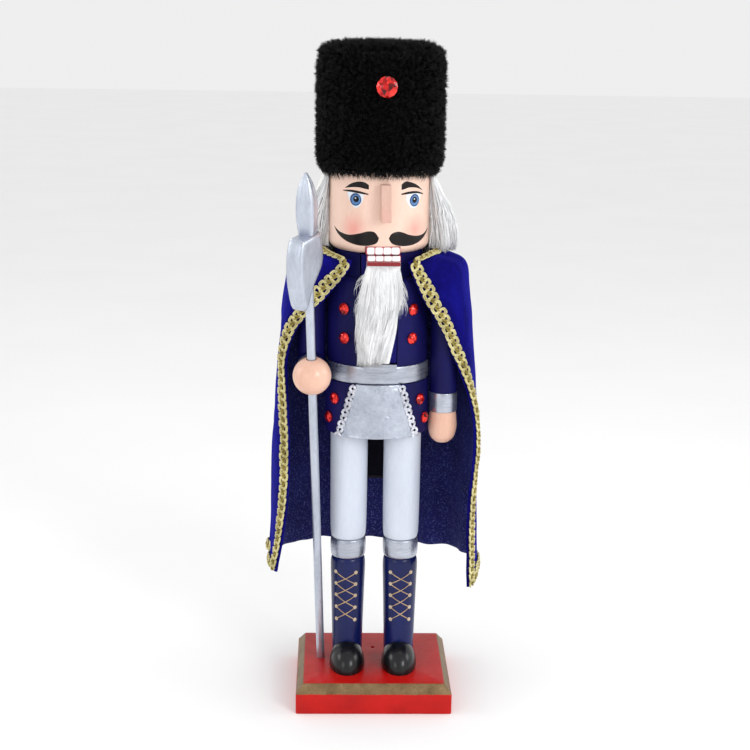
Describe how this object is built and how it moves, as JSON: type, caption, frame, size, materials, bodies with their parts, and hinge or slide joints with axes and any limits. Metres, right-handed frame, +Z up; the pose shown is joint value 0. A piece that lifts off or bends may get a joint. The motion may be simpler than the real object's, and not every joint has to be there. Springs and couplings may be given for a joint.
{
  "type": "nutcracker figure",
  "caption": "Standing wooden soldier nutcracker on a square plinth, with a lever-worked jaw, tall plush hat, open cape and a lift-out halberd.",
  "frame": {"origin": "centre of the plinth's underside", "axes": "+Z up; the figure faces -Y; +X is the figure's own left side, which is the viewer's right"},
  "size_m": [0.1275, 0.132, 0.3775],
  "materials": {
    "base_paint": "red paint with a satin lacquer, antique gold on the bevel",
    "shoe_paint": "black gloss paint",
    "boot_paint": "navy satin paint with thin gold lacing",
    "silver_paint": "silver satin paint",
    "trouser_paint": "white satin paint",
    "raw_wood": "bare turned wood",
    "silver_braid": "woven metallic thread",
    "red_jewel": "faceted clear red acrylic",
    "gold_braid": "looped gimp of pale gold metallic thread",
    "jacket_paint": "dark blue satin paint",
    "pin_steel": "plain",
    "lever_paint": "near-black navy paint",
    "white_paint": "white satin paint",
    "teeth_paint": "white paint with red outlines",
    "white_fur": "long white imitation fur",
    "skin_paint": "flesh-coloured satin paint with painted features",
    "hat_card": "bare",
    "black_fur": "short black plush",
    "halberd_silver": "silver satin paint",
    "cape_velvet": "royal blue velvet with a dark navy lining"
  },
  "bodies": {
    "figure": {"apron_braid_left": "silver_braid", "apron_braid_right": "silver_braid", "apron_panel": "silver_paint", "arm_cuff_left": "silver_paint", "arm_cuff_right": "silver_paint", "base_block": "base_paint", "belt_band": "silver_paint", "belt_clasp": "silver_paint", "boot_left": "boot_paint", "boot_right": "boot_paint", "cape": "cape_velvet", "cape_braid_hem": "gold_braid", "cape_braid_left": "gold_braid", "cape_braid_neck": "gold_braid", "cape_braid_right": "gold_braid", "chest_jewel_lower_left": "red_jewel", "chest_jewel_lower_right": "red_jewel", "chest_jewel_upper_left": "red_jewel", "chest_jewel_upper_right": "red_jewel", "collar": "jacket_paint", "fist_right": "skin_paint", "forearm_right": "jacket_paint", "hair": "white_fur", "hand_left": "skin_paint", "hat_core": "hat_card", "hat_fur": "black_fur", "hat_jewel": "red_jewel", "head_block": "skin_paint", "knee_cuff_left": "silver_paint", "knee_cuff_right": "silver_paint", "leg_dowel_left": "raw_wood", "leg_dowel_right": "raw_wood", "neck_dowel_left": "raw_wood", "neck_dowel_right": "raw_wood", "nose": "skin_paint", "pivot_pin": "pin_steel", "shoe_left": "shoe_paint", "shoe_right": "shoe_paint", "shoulder_dowel_left": "raw_wood", "shoulder_dowel_right": "raw_wood", "skirt_block": "jacket_paint", "skirt_jewel_lower_left": "red_jewel", "skirt_jewel_lower_right": "red_jewel", "skirt_jewel_upper_left": "red_jewel", "skirt_jewel_upper_right": "red_jewel", "sleeve_left": "jacket_paint", "torso_block": "jacket_paint", "trouser_leg_left": "trouser_paint", "trouser_leg_right": "trouser_paint", "upper_arm_right": "jacket_paint", "upper_teeth": "teeth_paint"},
    "jaw": {"jaw_lever": "lever_paint", "chin_board": "white_paint", "lower_teeth": "teeth_paint", "beard": "white_fur"},
    "halberd": {"halberd_shaft": "halberd_silver", "halberd_axe": "halberd_silver", "halberd_tip": "halberd_silver"}
  },
  "joints": [
    {"name": "jaw_hinge", "type": "hinge", "parent": "figure", "child": "jaw", "pos_m": [0, -0.002, 0.243], "axis": [1, 0, 0], "range_deg": [0, 14]},
    {"name": "halberd_lift", "type": "slide", "parent": "figure", "child": "halberd", "axis": [-0.0296, -0.191, 0.9811], "range_m": [0, 0.2]}
  ]
}
